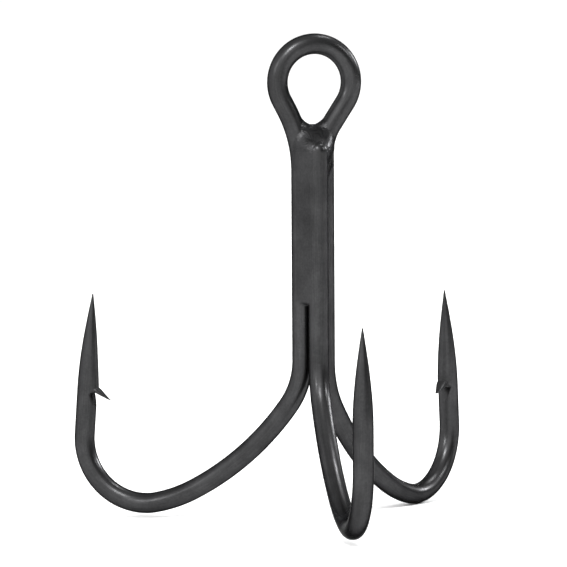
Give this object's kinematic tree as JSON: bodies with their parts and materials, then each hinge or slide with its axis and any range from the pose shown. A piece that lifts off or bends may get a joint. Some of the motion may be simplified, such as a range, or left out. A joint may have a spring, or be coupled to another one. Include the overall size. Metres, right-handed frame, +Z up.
{
  "type": "treble hook",
  "caption": "Barbed treble fishing hook: a double hook with a teardrop wire eye and a single hook brazed to its shank.",
  "frame": {"origin": "centre of the eye's bow, where a split ring or line loop bears", "axes": "+Z up the shank towards the top of the eye; the eye lies in the XZ plane; the single hook points towards -Y, the double hook's two points towards -X +Y and +X +Y"},
  "size_m": [0.0339, 0.0343, 0.0401],
  "materials": {
    "plated_wire": "black nickel plating, satin",
    "plated_braze": "black nickel plating over braze, satin"
  },
  "bodies": {
    "root": {"double_hook": "plated_wire", "single_hook": "plated_wire", "left_braze": "plated_braze", "right_braze": "plated_braze", "rear_braze": "plated_braze", "throat_braze": "plated_braze"}
  },
  "joints": []
}
